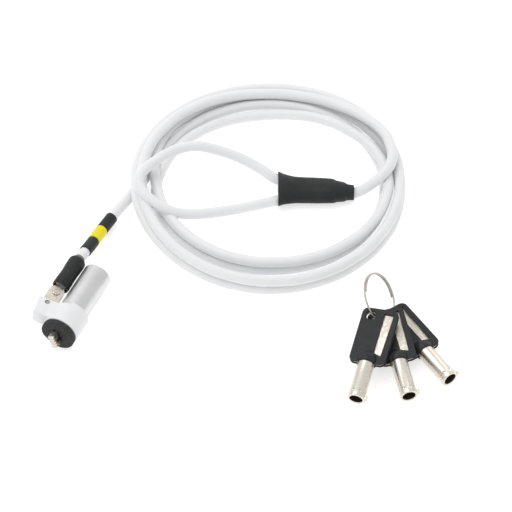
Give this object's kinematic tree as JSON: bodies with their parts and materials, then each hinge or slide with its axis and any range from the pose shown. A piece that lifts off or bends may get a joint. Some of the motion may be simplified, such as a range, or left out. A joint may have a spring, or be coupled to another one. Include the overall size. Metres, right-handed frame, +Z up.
{
  "type": "laptop cable lock",
  "caption": "Keyed barrel lock with a slot tip, on a coiled steel cable with an eye loop, and tubular keys on a split ring.",
  "frame": {"origin": "on the surface that the part lies on, under the middle of the box round the lock head, keys and ring", "axes": "+X across, from the lock head to the keys; +Y towards the coil; +Z up"},
  "size_m": [0.2026, 0.2057, 0.0223],
  "materials": {
    "barrel_nickel": "brushed nickel plate",
    "bright_nickel": "polished nickel plate",
    "warm_nickel": "satin nickel plate, warm",
    "steel": "plain steel",
    "brass": "turned brass",
    "aluminium": "pressed aluminium",
    "white_plastic": "satin white",
    "white_jacket": "satin PVC jacket over steel rope",
    "black_rubber": "matte rubber",
    "black_shrink": "matte heat-shrink tube",
    "black_plastic": "satin moulded plastic",
    "yellow_band": "satin yellow sleeve"
  },
  "bodies": {
    "cable": {"cable_lead": "white_jacket", "cable_coil": "white_jacket", "cable_tail": "white_jacket", "cable_loop": "white_jacket", "loop_crimp": "aluminium", "loop_sleeve": "black_shrink", "marker_black_lower": "black_shrink", "marker_yellow": "yellow_band", "marker_black_upper": "black_shrink", "cable_boot": "black_shrink", "cable_ferrule": "aluminium"},
    "collar": {"swivel_collar": "white_plastic", "link_plate": "warm_nickel", "link_pin": "steel", "link_rivet": "bright_nickel"},
    "barrel": {"barrel_shell": "barrel_nickel", "guide_plate": "steel", "rubber_pad": "black_rubber", "lock_stator": "brass", "stator_dowel": "steel", "rear_bezel": "bright_nickel", "collar_snap_ring": "steel", "pin_spring_1": "steel", "pin_spring_2": "steel", "pin_spring_3": "steel", "pin_spring_4": "steel", "pin_spring_5": "steel", "pin_spring_6": "steel", "pin_spring_7": "steel"},
    "rotor": {"lock_rotor": "bright_nickel", "t_bar": "bright_nickel", "t_bar_pin": "steel"},
    "key_pin_1": {"key_pin_1": "brass"},
    "key_pin_2": {"key_pin_2": "brass"},
    "key_pin_3": {"key_pin_3": "brass"},
    "key_pin_4": {"key_pin_4": "brass"},
    "key_pin_5": {"key_pin_5": "brass"},
    "key_pin_6": {"key_pin_6": "brass"},
    "key_pin_7": {"key_pin_7": "brass"},
    "driver_pin_1": {"driver_pin_1": "steel"},
    "driver_pin_2": {"driver_pin_2": "steel"},
    "driver_pin_3": {"driver_pin_3": "steel"},
    "driver_pin_4": {"driver_pin_4": "steel"},
    "driver_pin_5": {"driver_pin_5": "steel"},
    "driver_pin_6": {"driver_pin_6": "steel"},
    "driver_pin_7": {"driver_pin_7": "steel"},
    "key_ring": {"key_ring": "bright_nickel"},
    "key_1": {"key_1_tube": "bright_nickel", "key_1_bow_plate": "warm_nickel", "key_1_front_cover": "black_plastic", "key_1_back_cover": "black_plastic"},
    "key_2": {"key_2_tube": "bright_nickel", "key_2_bow_plate": "warm_nickel", "key_2_front_cover": "black_plastic", "key_2_back_cover": "black_plastic"},
    "key_3": {"key_3_tube": "bright_nickel", "key_3_bow_plate": "warm_nickel", "key_3_front_cover": "black_plastic", "key_3_back_cover": "black_plastic"}
  },
  "joints": [
    {"name": "cable_swing", "type": "hinge", "parent": "cable", "child": "collar", "pos_m": [-0.08981, 0.02059, 0.01077], "axis": [-0.1569, 0.0745, -0.9848], "range_deg": [0, 90]},
    {"name": "barrel_spin", "type": "hinge", "parent": "collar", "child": "barrel", "pos_m": [-0.08488, 0.00364, 0.0087], "axis": [0.4289, 0.9033, 0], "continuous": true},
    {"name": "key_turn", "type": "hinge", "parent": "barrel", "child": "rotor", "pos_m": [-0.07545, 0.02352, 0.0087], "axis": [0.4289, 0.9033, 0], "range_deg": [0, 90]},
    {"name": "key_pin_1_slide", "type": "slide", "parent": "rotor", "child": "key_pin_1", "axis": [-0.4289, -0.9033, 0], "range_m": [0, 0.001]},
    {"name": "key_pin_2_slide", "type": "slide", "parent": "rotor", "child": "key_pin_2", "axis": [-0.4289, -0.9033, 0], "range_m": [0, 0.001]},
    {"name": "key_pin_3_slide", "type": "slide", "parent": "rotor", "child": "key_pin_3", "axis": [-0.4289, -0.9033, 0], "range_m": [0, 0.001]},
    {"name": "key_pin_4_slide", "type": "slide", "parent": "rotor", "child": "key_pin_4", "axis": [-0.4289, -0.9033, 0], "range_m": [0, 0.001]},
    {"name": "key_pin_5_slide", "type": "slide", "parent": "rotor", "child": "key_pin_5", "axis": [-0.4289, -0.9033, 0], "range_m": [0, 0.001]},
    {"name": "key_pin_6_slide", "type": "slide", "parent": "rotor", "child": "key_pin_6", "axis": [-0.4289, -0.9033, 0], "range_m": [0, 0.001]},
    {"name": "key_pin_7_slide", "type": "slide", "parent": "rotor", "child": "key_pin_7", "axis": [-0.4289, -0.9033, 0], "range_m": [0, 0.001]},
    {"name": "driver_pin_1_slide", "type": "slide", "parent": "barrel", "child": "driver_pin_1", "axis": [-0.4289, -0.9033, 0], "range_m": [0, 0.001], "stiffness_N_per_m": 40},
    {"name": "driver_pin_2_slide", "type": "slide", "parent": "barrel", "child": "driver_pin_2", "axis": [-0.4289, -0.9033, 0], "range_m": [0, 0.001], "stiffness_N_per_m": 40},
    {"name": "driver_pin_3_slide", "type": "slide", "parent": "barrel", "child": "driver_pin_3", "axis": [-0.4289, -0.9033, 0], "range_m": [0, 0.001], "stiffness_N_per_m": 40},
    {"name": "driver_pin_4_slide", "type": "slide", "parent": "barrel", "child": "driver_pin_4", "axis": [-0.4289, -0.9033, 0], "range_m": [0, 0.001], "stiffness_N_per_m": 40},
    {"name": "driver_pin_5_slide", "type": "slide", "parent": "barrel", "child": "driver_pin_5", "axis": [-0.4289, -0.9033, 0], "range_m": [0, 0.001], "stiffness_N_per_m": 40},
    {"name": "driver_pin_6_slide", "type": "slide", "parent": "barrel", "child": "driver_pin_6", "axis": [-0.4289, -0.9033, 0], "range_m": [0, 0.001], "stiffness_N_per_m": 40},
    {"name": "driver_pin_7_slide", "type": "slide", "parent": "barrel", "child": "driver_pin_7", "axis": [-0.4289, -0.9033, 0], "range_m": [0, 0.001], "stiffness_N_per_m": 40},
    {"name": "keys_lift", "type": "slide", "parent": "cable", "child": "key_ring", "axis": [0, 0, 1], "range_m": [0, 0.03]},
    {"name": "key_1_swing", "type": "hinge", "parent": "key_ring", "child": "key_1", "pos_m": [0.06048, 0.00451, 0.0134], "axis": [-0.1641, -0.1005, 0.9813], "range_deg": [-20, 0]},
    {"name": "key_2_swing", "type": "hinge", "parent": "key_ring", "child": "key_2", "pos_m": [0.06359, 0.00602, 0.0086], "axis": [-0.1171, -0.085, 0.9895], "range_deg": [-2, 2.5]},
    {"name": "key_3_swing", "type": "hinge", "parent": "key_ring", "child": "key_3", "pos_m": [0.06799, 0.00911, 0.00465], "axis": [0, 0, 1], "range_deg": [0, 15]}
  ],
  "couplings": [
    {"joint": "driver_pin_1_slide", "follows": "key_pin_1_slide", "ratio": 1},
    {"joint": "driver_pin_2_slide", "follows": "key_pin_2_slide", "ratio": 1},
    {"joint": "driver_pin_3_slide", "follows": "key_pin_3_slide", "ratio": 1},
    {"joint": "driver_pin_4_slide", "follows": "key_pin_4_slide", "ratio": 1},
    {"joint": "driver_pin_5_slide", "follows": "key_pin_5_slide", "ratio": 1},
    {"joint": "driver_pin_6_slide", "follows": "key_pin_6_slide", "ratio": 1},
    {"joint": "driver_pin_7_slide", "follows": "key_pin_7_slide", "ratio": 1}
  ]
}
